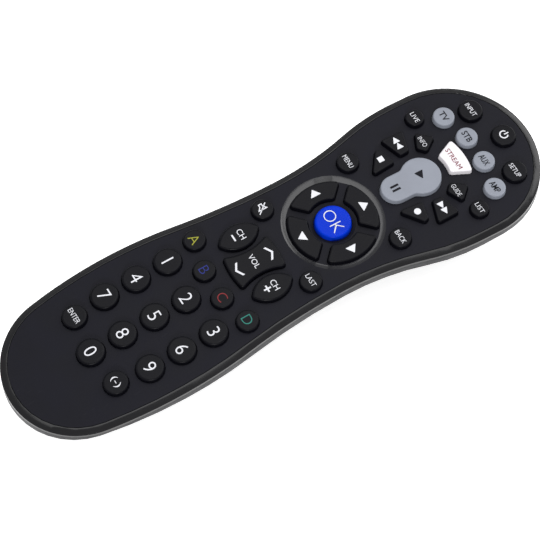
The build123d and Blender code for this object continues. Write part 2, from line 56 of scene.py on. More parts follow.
class Wire:
    """A value on its way from one node to the next. Sums on it add Math nodes."""

    def __init__(self, graph: "Graph", socket: bpy.types.NodeSocket) -> None:
        """Keeps the node tree and the socket."""
        self.graph = graph
        self.socket = socket

    def maths(self, operation: str, first: Value, second: Value) -> "Wire":
        """Adds a Math node.

        Args:
            operation: The node's operation.
            first: Its first value or link.
            second: Its second value or link.

        Returns:
            The node's result.
        """
        return self.graph.node("ShaderNodeMath", {"operation": operation}, {0: first, 1: second})

    def __add__(self, other: Value) -> "Wire":
        """This plus other."""
        return self.maths("ADD", self, other)

    def __radd__(self, other: Value) -> "Wire":
        """Other plus this."""
        return self.maths("ADD", other, self)

    def __sub__(self, other: Value) -> "Wire":
        """This less other."""
        return self.maths("SUBTRACT", self, other)

    def __rsub__(self, other: Value) -> "Wire":
        """Other less this."""
        return self.maths("SUBTRACT", other, self)

    def __mul__(self, other: Value) -> "Wire":
        """This times other."""
        return self.maths("MULTIPLY", self, other)

    def __rmul__(self, other: Value) -> "Wire":
        """Other times this."""
        return self.maths("MULTIPLY", other, self)

    def __gt__(self, other: Value) -> "Wire":
        """1 where this is more than other."""
        return self.maths("GREATER_THAN", self, other)


class Graph:
    """The node tree of one material."""

    # Sockets of a Mix node for colours
    SHARE, FIRST, SECOND, RESULT = 0, 6, 7, 2

    def __init__(self, name: str) -> None:
        """Starts an empty material.

        Args:
            name: The material's name.
        """
        self.material = bpy.data.materials.new(name)
        self.material.use_nodes = True
        self.tree = self.material.node_tree
        self.tree.nodes.clear()
        self.place = self.node("ShaderNodeTexCoord", {}, {}, "Object")

    def add(self, kind: str, settings: dict, values: dict) -> bpy.types.Node:
        """Adds any node.

        Args:
            kind: The node's type.
            settings: Its properties, set first.
            values: Its inputs' values or links, by name or number.

        Returns:
            The node.
        """
        made = self.tree.nodes.new(kind)
        for key, setting in settings.items():
            setattr(made, key, setting)
        for key, value in values.items():
            if isinstance(value, Wire):
                self.tree.links.new(value.socket, made.inputs[key])
            else:
                made.inputs[key].default_value = value
        return made

    def node(self, kind: str, settings: dict, values: dict, out: Union[int, str] = 0) -> Wire:
        """Adds any node and gives the output of this name or number."""
        return Wire(self, self.add(kind, settings, values).outputs[out])

    def noise(self, size: float, detail: float = 2, stretch: Colour = (1, 1, 1)) -> Wire:
        """Adds a noise.

        Args:
            size: Size of its features, in mm.
            detail: Its finer layers.
            stretch: How much it is squeezed along X, Y and Z.

        Returns:
            The noise, from 0 to 1.
        """
        place = self.node("ShaderNodeMapping", {}, {"Vector": self.place, "Scale": stretch})
        values = {"Vector": place, "Scale": 1 / (size * MM), "Detail": detail}
        return self.node("ShaderNodeTexNoise", {}, values, "Fac")

    def band(self, value: Wire, low: float, high: float) -> Wire:
        """Spreads a value between two limits over 0 to 1, softly.

        Args:
            value: The value.
            low: What becomes 0.
            high: What becomes 1.

        Returns:
            The spread value.
        """
        settings = {"interpolation_type": "SMOOTHSTEP"}
        values = {"Value": value, "From Min": low, "From Max": high}
        return self.node("ShaderNodeMapRange", settings, values)

    def mix(
        self,
        share: Value,
        first: Union[Wire, Colour],
        second: Union[Wire, Colour],
        blend: str = "MIX",
    ) -> Wire:
        """Mixes two colours.

        Args:
            share: How much of the second shows.
            first: A colour or link.
            second: A colour or link.
            blend: The way they are mixed.

        Returns:
            The mixed colour.
        """
        sides = [c if isinstance(c, Wire) else (*c, 1) for c in (first, second)]
        values = {self.SHARE: share, self.FIRST: sides[0], self.SECOND: sides[1]}
        settings = {"data_type": "RGBA", "blend_type": blend}
        return self.node("ShaderNodeMix", settings, values, self.RESULT)


def tint(red: int, green: int, blue: int) -> Colour:
    """Turns a screen colour of 0 to 255 into light.

    Args:
        red: Red.
        green: Green.
        blue: Blue.

    Returns:
        The linear colour.
    """
    full, knee, slope, lift, power = 255, 0.04045, 12.92, 0.055, 2.4
    parts = [c / full for c in (red, green, blue)]
    return tuple(c / slope if c < knee else ((c + lift) / (1 + lift)) ** power for c in parts)


@dataclass(frozen=True)
class Wear:
    """Marks of use: fine scratches that lie in patches. Sizes are in mm."""

    line_size: float = 0.35
    line_stretch: float = 0.06
    line_band: Point = (0.66, 0.8)
    patch_size: float = 14
    patch_band: Point = (0.48, 0.7)
    tone: float = 0.16
    roughness: float = 0.12
    depth: float = 0.5

    def scuffs(self, graph: Graph) -> Wire:
        """Where the scratches are.

        Args:
            graph: The material's node tree.

        Returns:
            The scratches, from 0 to 1.
        """
        lines = graph.noise(self.line_size, stretch=(1, self.line_stretch, 1))
        fine = graph.band(lines, *self.line_band)
        return fine * graph.band(graph.noise(self.patch_size), *self.patch_band)


@dataclass(frozen=True)
class Finish:
    """How a moulded or metal surface looks: colour, cloudiness, grain, gloss and wear."""

    name: str
    colour: Colour
    roughness: float
    cloud: float = 0.12
    cloud_size: float = 9
    grain_size: float = 0.25
    grain_depth: float = 0.004
    metallic: float = 0
    coat: float = 0
    coat_roughness: float = 0.15
    specular: float = 0.5
    scuff: float = 0.5
    glow: float = 0
    dust: Colour = tint(120, 120, 124)
    cloud_detail: float = 4
    cloud_band: Point = (0.3, 0.7)
    gloss_swing: float = 0.2
    grain_detail: float = 3
    wear: Wear = Wear()

    def base(self, graph: Graph) -> Union[Wire, Colour]:
        """The colour before cloudiness and marks."""
        return self.colour

    def relief(self, graph: Graph) -> Wire:
        """Height of the surface's grain, from 0 to 1."""
        return graph.noise(self.grain_size, self.grain_detail)

    def material(self) -> bpy.types.Material:
        """Makes the material, or finds it if it is there.

        Returns:
            The material.
        """
        made = bpy.data.materials.get(self.name)
        if made:
            return made
        graph = Graph(self.name)
        cloud = graph.band(graph.noise(self.cloud_size, self.cloud_detail), *self.cloud_band)
        scuffs = self.wear.scuffs(graph) * self.scuff
        tone = graph.mix(cloud, (1 - self.cloud,) * 3, (1 + self.cloud,) * 3)
        clouded = graph.mix(1.0, self.base(graph), tone, "MULTIPLY")
        colour = graph.mix(scuffs * self.wear.tone, clouded, self.dust)
        unevenness = 1 - self.gloss_swing / 2 + self.gloss_swing * cloud
        roughness = self.roughness * unevenness + self.wear.roughness * scuffs
        height = self.relief(graph) - self.wear.depth * scuffs
        bump = {"Strength": 1.0, "Distance": self.grain_depth * MM, "Height": height}
        values = {
            "Base Color": colour,
            "Roughness": roughness,
            "Metallic": self.metallic,
            "Coat Weight": self.coat,
            "Coat Roughness": self.coat_roughness,
            "Specular IOR Level": self.specular,
            "Emission Color": (1, 1, 1, 1),
            "Emission Strength": self.glow,
            "Normal": graph.node("ShaderNodeBump", {}, bump, "Normal"),
        }
        surface = graph.node("ShaderNodeBsdfPrincipled", {}, values)
        graph.add("ShaderNodeOutputMaterial", {}, {"Surface": surface})
        return graph.material


@dataclass(frozen=True)
class InkFinish(Finish):
    """Printed ink."""

    roughness: float = 0.5
    cloud: float = 0.05
    grain_depth: float = 0.0008
    specular: float = 0.2


@dataclass(frozen=True)
class BoardFinish(Finish):
    """Lacquered circuit board with lighter copper runs under the lacquer."""

    run_colour: Colour = tint(60, 120, 70)
    run_size: float = 3.2
    run_stretch: float = 0.25
    run_band: Point = (0.5, 0.53)

    def base(self, graph: Graph) -> Wire:
        """The board's green, with its runs."""
        runs = graph.noise(self.run_size, 0, (1, self.run_stretch, 1))
        return graph.mix(graph.band(runs, *self.run_band), self.colour, self.run_colour)


@dataclass(frozen=True)
class WrapperFinish(Finish):
    """Printed sleeve of a battery: a dark body and a metallic band at one end."""

    band_colour: Colour = tint(176, 128, 62)
    band_start: float = -48

    def base(self, graph: Graph) -> Wire:
        """Dark along most of the cell, the band's colour beyond its start."""
        along = graph.node("ShaderNodeSeparateXYZ", {}, {0: graph.place}, 1)
        return graph.mix(along > self.band_start * MM, self.colour, self.band_colour)


class Look(Enum):
    """The finishes of this remote control."""

    DECK = Finish(
        "deck_plastic", tint(17, 17, 24), 0.5, grain_size=0.3, grain_depth=0.005, specular=0.09
    )
    RIM = Finish("pad_rim_gloss", tint(18, 18, 23), 0.24, cloud=0.05, grain_depth=0.0012)
    BAND = Finish(
        "bezel_gloss",
        tint(7, 7, 10),
        0.2,
        cloud=0.05,
        grain_depth=0.0008,
        specular=0.32,
        scuff=0.8,
    )
    WALL = Finish(
        "housing_plastic", tint(20, 20, 23), 0.45, grain_size=0.35, grain_depth=0.008, specular=0.14
    )
    WINDOW = Finish(
        "window_plastic",
        tint(26, 5, 10),
        0.08,
        cloud=0.05,
        grain_depth=0.0004,
        specular=0.4,
        coat=0.3,
    )
    BLACK_KEY = Finish(
        "black_key_rubber", tint(7, 7, 12), 0.36, grain_size=0.2, grain_depth=0.002, specular=0.09
    )
    GREY_KEY = Finish(
        "grey_key_plastic", tint(118, 122, 132), 0.4, cloud=0.05, grain_depth=0.0015, specular=0.3
    )
    WHITE_KEY = Finish(
        "white_key_plastic", tint(204, 201, 205), 0.4, cloud=0.02, grain_depth=0.0015, scuff=0.2
    )
    BLUE_KEY = Finish(
        "blue_key_plastic", tint(0, 42, 170), 0.3, cloud=0.06, grain_depth=0.001, specular=0.06
    )
    MAT = Finish("keypad_rubber", tint(26, 26, 30), 0.7, grain_depth=0.006, specular=0.2)
    BOARD = BoardFinish("board_lacquer", tint(18, 60, 34), 0.3, grain_depth=0.003)
    CHIP = Finish("chip_resin", tint(20, 20, 22), 0.55, grain_size=0.12, specular=0.3)
    EMITTER = Finish(
        "emitter_resin", tint(96, 102, 128), 0.08, cloud=0.05, grain_depth=0.0005, coat=0.5
    )
    CELL = WrapperFinish("cell_sleeve", tint(24, 24, 27), 0.28, coat=0.3, grain_depth=0.001)
    CONTACT = Finish(
        "contact_metal", tint(190, 188, 182), 0.26, metallic=1, cloud=0.08, grain_depth=0.001
    )
    SCREW = Finish("screw_metal", tint(110, 110, 114), 0.34, metallic=1, grain_depth=0.0015)
    WHITE_INK = InkFinish(
        "white_ink", tint(196, 197, 202), cloud=0.03, specular=0.5, scuff=0.3
    )
    DARK_INK = InkFinish("dark_ink", tint(12, 13, 20), cloud=0.06, specular=0.1)
    MAUVE_INK = InkFinish("mauve_ink", tint(108, 34, 46))
    YELLOW_INK = InkFinish("yellow_ink", tint(134, 134, 42))
    SKY_INK = InkFinish("sky_ink", tint(24, 34, 104))
    RED_INK = InkFinish("red_ink", tint(112, 30, 34))
    TEAL_INK = InkFinish("teal_ink", tint(36, 106, 96))
    FLOOR = Finish(
        "floor_card",
        tint(250, 250, 250),
        0.8,
        cloud=0.01,
        cloud_size=200,
        grain_size=2,
        scuff=0,
        glow=0.45,
    )

    def dress(self, piece: bpy.types.Object) -> None:
        """Gives the piece this finish in all its material slots."""
        piece.data.materials.clear()
        piece.data.materials.append(self.value.material())


# Flat outlines, in mm, all running anticlockwise


def arc(centre: Point, radius: float, start: float, end: float, steps: int = 24) -> list[Point]:
    """Points along an arc.

    Args:
        centre: Its centre.
        radius: Its radius.
        start: First angle, in degrees.
        end: Last angle, in degrees.
        steps: Number of runs.

    Returns:
        The points, both ends included.
    """
    turns = [math.radians(start + (end - start) * i / steps) for i in range(steps + 1)]
    return [(centre[0] + radius * math.cos(t), centre[1] + radius * math.sin(t)) for t in turns]


def bow(start: Point, middle: Point, end: Point, steps: int = 20) -> list[Point]:
    """Points along the arc through three points.

    Args:
        start: First point.
        middle: A point between.
        end: Last point.
        steps: Number of runs.

    Returns:
        The points, both ends included.
    """
    (ax, ay), (bx, by), (cx, cy) = start, middle, end
    d = 2 * (ax * (by - cy) + bx * (cy - ay) + cx * (ay - by))
    squares = [x * x + y * y for x, y in (start, middle, end)]
    x = (squares[0] * (by - cy) + squares[1] * (cy - ay) + squares[2] * (ay - by)) / d
    y = (squares[0] * (cx - bx) + squares[1] * (ax - cx) + squares[2] * (bx - ax)) / d
    first, between, last = [math.degrees(math.atan2(q - y, p - x)) for p, q in (start, middle, end)]
    sweep = (last - first) % 360
    if (between - first) % 360 > sweep:
        sweep -= 360
    return arc((x, y), math.hypot(ax - x, ay - y), first, first + sweep, steps)


def disc(diameter: float, steps: int = 56) -> list[Point]:
    """Points round a circle about the origin."""
    return arc((0, 0), diameter / 2, 0, 360, steps)[:-1]


def trimmed(side: list[Point], cut: float) -> list[Point]:
    """A run of points, shortened at its start.

    Args:
        side: The points.
        cut: Length that is taken off.

    Returns:
        The shorter run.
    """
    left = cut
    for index in range(len(side) - 1):
        start, end = Vector(side[index]), Vector(side[index + 1])
        length = (end - start).length
        if length > left:
            return [tuple(start + (end - start) * left / length), *side[index + 1 :]]
        left -= length
    return side[-1:]


def softened(sides: list[list[Point]], radius: float, steps: int = 6) -> list[Point]:
    """Joins runs of points by rounded corners.

    Args:
        sides: The runs, each from corner to corner.
        radius: The corners' radius.
        steps: Points on each corner.

    Returns:
        The closed outline.
    """
    cuts, turns = [], []
    for index, side in enumerate(sides):
        before = sides[index - 1]
        one = Vector(before[-1]) - Vector(before[-2])
        other = Vector(side[1]) - Vector(side[0])
        turn = math.atan2(one.x * other.y - one.y * other.x, one.dot(other))
        turns.append(turn)
        cuts.append(radius * math.tan(abs(turn) / 2))
    runs = []
    for index, side in enumerate(sides):
        run = trimmed(side, cuts[index])
        runs.append(trimmed(run[::-1], cuts[(index + 1) % len(sides)])[::-1])
    outline: list[Point] = []
    for index, run in enumerate(runs):
        hand = math.copysign(1, turns[index])
        before = runs[index - 1]
        ends = []
        for point, along in (
            (Vector(before[-1]), Vector(before[-1]) - Vector(before[-2])),
            (Vector(run[0]), Vector(run[1]) - Vector(run[0])),
        ):
            along.normalize()
            ends.append((point, Vector((-along.y, along.x)) * hand * radius))
        (last, one), (start, other) = ends
        sweep = math.atan2(one.x * other.y - one.y * other.x, one.dot(other))
        for step in range(1, steps):
            share = step / steps
            centre = (last + one).lerp(start + other, share)
            reach = Vector(turned([tuple(one)], math.degrees(sweep * share))[0])
            outline.append(tuple(centre - reach))
        outline += run
    kept = outline[:1]
    for point in outline[1:]:
        if math.dist(point, kept[-1]) > SHORTEST_RUN:
            kept.append(point)
    return kept if math.dist(kept[0], kept[-1]) > SHORTEST_RUN else kept[:-1]


def straight(corners: list[Point]) -> list[list[Point]]:
    """The straight sides of a polygon."""
    return [[corners[i], corners[(i + 1) % len(corners)]] for i in range(len(corners))]


def grown(outline: list[Point], amount: float) -> list[Point]:
    """Moves an outline out by an amount.

    Args:
        outline: Its points.
        amount: How far.

    Returns:
        The larger outline.
    """
    moved = []
    for index, point in enumerate(outline):
        before, after = Vector(outline[index - 1]), Vector(outline[(index + 1) % len(outline)])
        along = (after - before).normalized()
        moved.append((point[0] + along.y * amount, point[1] - along.x * amount))
    return moved


def turned(points: list[Point], angle: float) -> list[Point]:
    """Turns points about the origin by an angle in degrees."""
    c, s = math.cos(math.radians(angle)), math.sin(math.radians(angle))
    return [(c * x - s * y, s * x + c * y) for x, y in points]


def moved(points: list[Point], x: float, y: float) -> list[Point]:
    """Moves points by x and y."""
    return [(p + x, q + y) for p, q in points]


# Work on meshes


def pick(*objects: bpy.types.Object) -> None:
    """Selects these objects and nothing else, with the first one active.

    Args:
        objects: The objects.
    """
    bpy.ops.object.select_all(action="DESELECT")
    for one in objects:
        one.select_set(True)
    bpy.context.view_layer.objects.active = objects[0]


def lay_face(name: str, outline: list[Point], height: float) -> bpy.types.Object:
    """Starts a piece as one flat face.

    Args:
        name: The piece's name.
        outline: Its outline.
        height: Its height.

    Returns:
        The piece.
    """
    bpy.ops.object.select_all(action="DESELECT")
    bpy.ops.mesh.primitive_circle_add(vertices=len(outline), radius=1, fill_type="NGON")
    piece = bpy.context.object
    piece.name = piece.data.name = name
    for vertex, (x, y) in zip(piece.data.vertices, outline):
        vertex.co = (x, y, height)
    return piece


def rise(piece: bpy.types.Object, height: float, steps: list[Point]) -> None:
    """Raises a flat face into a closed body and shapes its top by insets.

    Args:
        piece: The flat face.
        height: How far it is raised first.
        steps: Width and height of each inset after that.
    """
    pick(piece)
    bpy.ops.object.mode_set(mode="EDIT")
    bpy.ops.mesh.select_mode(type="FACE")
    bpy.ops.mesh.select_all(action="SELECT")
    bpy.ops.mesh.extrude_region_move(TRANSFORM_OT_translate={"value": (0, 0, height)})
    for width, lift in steps:
        bpy.ops.mesh.inset(thickness=width, depth=lift, use_even_offset=True)
    bpy.ops.mesh.select_all(action="SELECT")
    bpy.ops.mesh.normals_make_consistent(inside=False)
    bpy.ops.object.mode_set(mode="OBJECT")


def settle(piece: bpy.types.Object, place: Matrix, smooth: float = 35) -> None:
    """Puts a piece in its place, in metres, and smooths its shading.

    Args:
        piece: A piece in mm about the origin.
        place: Where it goes, in metres.
        smooth: Edges under this angle are smooth, in degrees.
    """
    piece.matrix_world = place @ Matrix.Scale(MM, 4)
    pick(piece)
    bpy.ops.object.transform_apply(location=True, rotation=True, scale=True)
    bpy.ops.object.shade_smooth_by_angle(angle=math.radians(smooth))


def rounded_steps(height: float, draft: float, radius: float, count: int = 4) -> list[Point]:
    """Insets that make a drafted wall with a rounded top edge.

    Args:
        height: The wall's height with the rounding.
        draft: The wall's draft, in degrees.
        radius: The rounding's radius.
        count: Number of steps in the rounding.

    Returns:
        Width and height of each inset.
    """
    wall = height - radius
    steps = [(wall * math.tan(math.radians(draft)), wall)]
    start = math.radians(draft)
    angles = [start + (math.pi / 2 - start) * i / count for i in range(count + 1)]
    for one, other in zip(angles, angles[1:]):
        width = radius * (math.cos(one) - math.cos(other))
        steps.append((width, radius * (math.sin(other) - math.sin(one))))
    return steps


@dataclass
class Deck:
    """The arched top of the body: a row of flats along it, as in the solids."""

    head_y: float = 97.7
    keypad_y: float = -97.7
    apex_y: float = -8
    apex_height: float = 24
    arch_radius: float = 1030
    flats: int = 12

    def height(self, y: float) -> float:
        """Height of the arch over a place along the body."""
        drop = self.arch_radius - math.sqrt(self.arch_radius**2 - (y - self.apex_y) ** 2)
        return self.apex_height - drop

    def place(self, x: float, y: float, sunk: float = 0) -> Matrix:
        """The plane of the deck at a place.

        Args:
            x: Across.
            y: Along.
            sunk: How far under the deck.

        Returns:
            The plane as a matrix in metres, Z out of the deck.
        """
        length = self.head_y - self.keypad_y
        index = min(int((y - self.keypad_y) / length * self.flats), self.flats - 1)
        start, end = (self.keypad_y + (index + i) * length / self.flats for i in (0, 1))
        slope = (self.height(end) - self.height(start)) / (end - start)
        middle = Vector((x, y, self.height(start) + slope * (y - start)))
        turn = Matrix.Rotation(math.atan(slope), 4, "X")
        place = Matrix.Translation(middle * MM) @ turn
        return place @ Matrix.Translation((0, 0, -sunk * MM))


# Legends


@dataclass
class Mark:
    """Something printed on a key: words of a height and width, or flat shapes."""

    look: Look
    words: str = ""
    height: float = 1.5
    width: float = 0
    shapes: list[list[Point]] = field(default_factory=list)
    x: float = 0
    y: float = 0
    bold: float = -0.004
    ink: float = 0.03
    font_scale: float = 1.4
    curve_steps: int = 4

    def make(self, name: str) -> bpy.types.Object:
        """Makes the print, lying on the XY plane, in mm.

        Args:
            name: The piece's name.

        Returns:
            The piece.
        """
        if not self.words:
            parts = []
            for shape in self.shapes:
                part = lay_face(name, moved(shape, self.x, self.y), -self.ink)
                rise(part, 2 * self.ink, [])
                parts.append(part)
            pick(*parts)
            if len(parts) > 1:
                bpy.ops.object.join()
            parts[0].name = parts[0].data.name = name
            return parts[0]
        bpy.ops.object.select_all(action="DESELECT")
        bpy.ops.object.text_add()
        text = bpy.context.object
        text.data.body = self.words
        text.data.size = self.height * self.font_scale
        text.data.offset = self.bold * self.height
        text.data.resolution_u = self.curve_steps
        text.data.extrude = self.ink
        bpy.ops.object.convert(target="MESH")
        piece = bpy.context.object
        piece.name = piece.data.name = name
        spots = [v.co for v in piece.data.vertices]
        low = Vector(min(s[i] for s in spots) for i in range(3))
        high = Vector(max(s[i] for s in spots) for i in range(3))
        size, middle = high - low, (high + low) / 2
        tall = self.height / size.y
        wide = self.width / size.x if self.width else tall
        shift = Matrix.Translation((self.x, self.y, 0)) @ Matrix.Diagonal((wide, tall, 1, 1))
        piece.data.transform(shift @ Matrix.Translation((-middle.x, -middle.y, 0)))
        return piece


def block(width: float, height: float, x: float = 0, y: float = 0) -> list[Point]:
    """Corners of an upright rectangle about a point."""
    corners = ((-1, -1), (1, -1), (1, 1), (-1, 1))
    return [(x + i * width / 2, y + j * height / 2) for i, j in corners]


def arrow(
    width: float, height: float, turn: float, x: float = 0, y: float = 0, corner: float = 0.12
) -> list[Point]:
    """A triangle that points up, turned and moved.

    Args:
        width: Its base.
        height: Its height.
        turn: Angle it is turned by, in degrees.
        x: Its middle, across.
        y: Its middle, along.
        corner: Radius of its corners.

    Returns:
        Its outline.
    """
    corners = [(-width / 2, -height / 2), (width / 2, -height / 2), (0, height / 2)]
    return moved(turned(softened(straight(corners), corner, 3), turn), x, y)


def chevron(width: float, height: float, stroke: float, turn: float, y: float) -> list[Point]:
    """An open arrow head that points up, turned and moved along.

    Args:
        width: Its width.
        height: Its height.
        stroke: Height of its bars.
        turn: Angle it is turned by, in degrees.
        y: Its middle, along.

    Returns:
        Its outline.
    """
    x, top, low = width / 2, height / 2, -height / 2
    points = [(-x, low), (0, top - stroke), (x, low)]
    points += [(x, low + stroke), (0, top), (-x, low + stroke)]
    return moved(turned(points, turn), 0, y)


def ring_part(radius: float, stroke: float, start: float, end: float) -> list[Point]:
    """A bent bar along part of a circle."""
    outer = arc((0, 0), radius + stroke / 2, start, end)
    return outer + arc((0, 0), radius - stroke / 2, end, start)


def power_sign(radius: float, stroke: float, stem: float, lift: float) -> list[list[Point]]:
    """An open ring with a bar in its gap.

    Args:
        radius: The ring's radius.
        stroke: Width of ring and bar.
        stem: Length of the bar.
        lift: How far the bar's middle is above the ring's.

    Returns:
        Its shapes.
    """
    return [ring_part(radius, stroke, 125, 415), block(stroke, stem, 0, lift)]


def mute_sign(stroke: float, length: float, turn: float) -> list[list[Point]]:
    """The outline of a loudspeaker with a bar across.

    Args:
        stroke: Width of the bar.
        length: Length of the bar.
        turn: Angle the bar is turned by, in degrees.

    Returns:
        Its shapes.
    """
    horn = [(-1.9, -0.7), (-0.9, -0.7), (0.5, -1.8), (0.5, 1.8), (-0.9, 0.7), (-1.9, 0.7)]
    hollow = [(-1.5, -0.35), (-0.75, -0.35), (0.15, -1.05)]
    hollow += [(0.15, 1.05), (-0.75, 0.35), (-1.5, 0.35)]
    ends = [(i, (i + 1) % len(horn)) for i in range(len(horn))]
    sides = [[horn[a], horn[b], hollow[b], hollow[a]] for a, b in ends]
    return [*sides, turned(block(stroke, length), turn)]


# Keys


@dataclass
class Cap:
    """One key: its node, outline, place, print and look."""

    node: str
    outline: list[Point]
    x: float
    y: float
    look: Look
    marks: list[Mark]
    sunk: float = 0
    draft: float = 7
    rounding: float = 0.4
    crown: float = 0.03


@dataclass
class Keypad:
    """All the keys: their sizes, their caps and what is printed on them."""

    deck: Deck
    height: float = 1.7
    depth: float = 2.1
    crown_width: float = 0.2
    flat_width: float = 0.03
    pad_y: float = 22
    pad_sunk: float = 0.8
    slim_draft: float = 4
    blend_draft: float = 7
    digit_diameter: float = 9.5
    digit_x: float = 14.67
    digit_y: float = -31.5
    digit_pitch: float = 11.66
    column_dip: float = 1.6
    corner_round: float = 1
    ok_diameter: float = 12.2
    sector_radii: Point = (8.2, 15.1)
    sector_gap: float = 2.9
    # Widths above and below, height, rise of the upper and of the lower side
    stream_size: tuple = (13.8, 7.4, 7, 1.1, 0.6)
    stream_y: float = 68.2
    play_y: float = 55.7
    pause_y: float = 45.8
    play_radius: float = 7
    pause_radius: float = 5
    lobe_blend: float = 2
    volume_y: float = -7.8
    # Width, height, waist and rise of the ends
    volume_size: tuple = (13.2, 17.8, 9.3, 0.8)
    leaf_place: Point = (10.6, -7.4)
    # Width, height and radius of the points
    leaf_size: tuple = (9.2, 15.2, 1.4)
    foot: float = 0.2
    print_smooth: float = 20
    corner_rounding: float = 0.35
    digit_print: float = 4.3
    arrow_size: Point = (3.8, 2.7)
    arrow_reach: float = 12
    skip_size: Point = (2.5, 2.4)
    skip_gap: float = 1.2
    pause_bar: Point = (0.75, 3)
    sign_stroke: float = 0.55
    sign_width: float = 2.5
    # Length of the upright arms of a plus sign, and their middles' distance from its own
    sign_arm: Point = (0.98, 0.76)
    # Width, height and stroke of the volume key's arrow heads
    way_size: tuple = (5, 2.2, 0.75)
    way_reach: float = 6
    digit_rounding: float = 0.6
    ok_rounding: float = 0.7
    arrow_rounding: float = 0.45
    leaf_rounding: float = 0.7
    volume_rounding: float = 0.6

    def sector(self, turn: float) -> list[Point]:
        """One sector of the direction pad, turned from the upper one.

        Args:
            turn: Its turn, in degrees.

        Returns:
            Its outline.
        """
        inner, outer = self.sector_radii
        shift = self.sector_gap / math.sqrt(2)
        angles = []
        for radius in (inner, outer):
            x = (-shift + math.sqrt(2 * radius**2 - shift**2)) / 2
            angles.append(math.degrees(math.atan2(x + shift, x)))
        outside = arc((0, 0), outer, angles[1], 180 - angles[1])
        inside = arc((0, 0), inner, 180 - angles[0], angles[0])
        sides = [outside, [outside[-1], inside[0]], inside, [inside[-1], outside[0]]]
        return turned(softened(sides, self.corner_round), turn)

    def stream(self) -> list[Point]:
        """The fan shaped key: wide and crowned above, narrow below.

        Returns:
            Its outline.
        """
        top, bottom, height, top_rise, bottom_rise = self.stream_size
        y = height / 2
        upper = bow((top / 2, y), (0, y + top_rise), (-top / 2, y))
        lower = bow((-bottom / 2, -y), (0, bottom_rise - y), (bottom / 2, -y))
        sides = [upper, [upper[-1], lower[0]], lower, [lower[-1], upper[0]]]
        return softened(sides, self.corner_round)

    def lobes(self) -> list[Point]:
        """The play lobe above and the pause lobe below, blended.

        Returns:
            Its outline.
        """
        half = (self.play_y - self.pause_y) / 2
        drop = math.sqrt(self.play_radius**2 - self.pause_radius**2)
        angle = math.degrees(math.atan2(-drop, self.pause_radius))
        upper = arc((0, half), self.play_radius, angle, 180 - angle, 48)
        lower = [upper[-1], *arc((0, -half), self.pause_radius, 180, 360, 32), upper[0]]
        return softened([upper, lower], self.lobe_blend)

    def hourglass(self) -> list[Point]:
        """The volume key: waisted sides, crowned ends.

        Returns:
            Its outline.
        """
        width, height, waist, crown = self.volume_size
        x, y = width / 2, height / 2 - crown
        sides = [
            bow((x, y), (0, height / 2), (-x, y)),
            bow((-x, y), (-waist / 2, 0), (-x, -y)),
            bow((-x, -y), (0, -height / 2), (x, -y)),
            bow((x, -y), (waist / 2, 0), (x, y)),
        ]
        return softened(sides, self.corner_round)

    def leaf(self) -> list[Point]:
        """The pointed oval of a channel key.

        Returns:
            Its outline.
        """
        width, height, radius = self.leaf_size
        top, bottom = (0, height / 2), (0, -height / 2)
        sides = [bow(top, (-width / 2, 0), bottom, 32), bow(bottom, (width / 2, 0), top, 32)]
        return softened(sides, radius)

    def corner_cap(self, node: str, corners: list[Point], side: int, marks: list[Mark]) -> Cap:
        """A straight-sided key beside the pad.

        Args:
            node: Its node.
            corners: Its corners on the right half, y from the pad's middle.
            side: 1 on the right, -1 on the left.
            marks: What is printed on it.

        Returns:
            The cap.
        """
        middle = [sum(corner[i] for corner in corners) / len(corners) for i in (0, 1)]
        points = [(side * (x - middle[0]), y - middle[1]) for x, y in corners]
        area = sum(a[0] * b[1] - b[0] * a[1] for a, b in zip(points, points[1:] + points[:1]))
        outline = softened(straight(points if area > 0 else points[::-1]), self.corner_round)
        x, y = side * middle[0], self.pad_y + middle[1]
        return Cap(node, outline, x, y, Look.BLACK_KEY, marks, rounding=self.corner_rounding)

    def digits(self) -> list[Cap]:
        """Lists the digit keys: three columns, the middle one a little lower.

        Returns:
            The caps.
        """
        made = []
        edge = {"rounding": self.digit_rounding}
        for digit in range(10):
            row, column = divmod(digit - 1, 3) if digit else (3, 1)
            x = (column - 1) * self.digit_x
            y = self.digit_y - row * self.digit_pitch - (self.column_dip if column == 1 else 0)
            marks = [Mark(Look.WHITE_INK, str(digit), self.digit_print, bold=-0.014)]
            outline = disc(self.digit_diameter)
            made.append(Cap(f"digit_{digit}_key", outline, x, y, Look.BLACK_KEY, marks, **edge))
        return made

    def round_keys(self) -> list[Cap]:
        """Lists the round keys apart from the digits.

        Returns:
            The caps.
        """
        white, dark, black, grey = Look.WHITE_INK, Look.DARK_INK, Look.BLACK_KEY, Look.GREY_KEY
        yellow, sky, red, teal = Look.YELLOW_INK, Look.SKY_INK, Look.RED_INK, Look.TEAL_INK
        power = power_sign(1.35, 0.42, 1.7, 0.95)
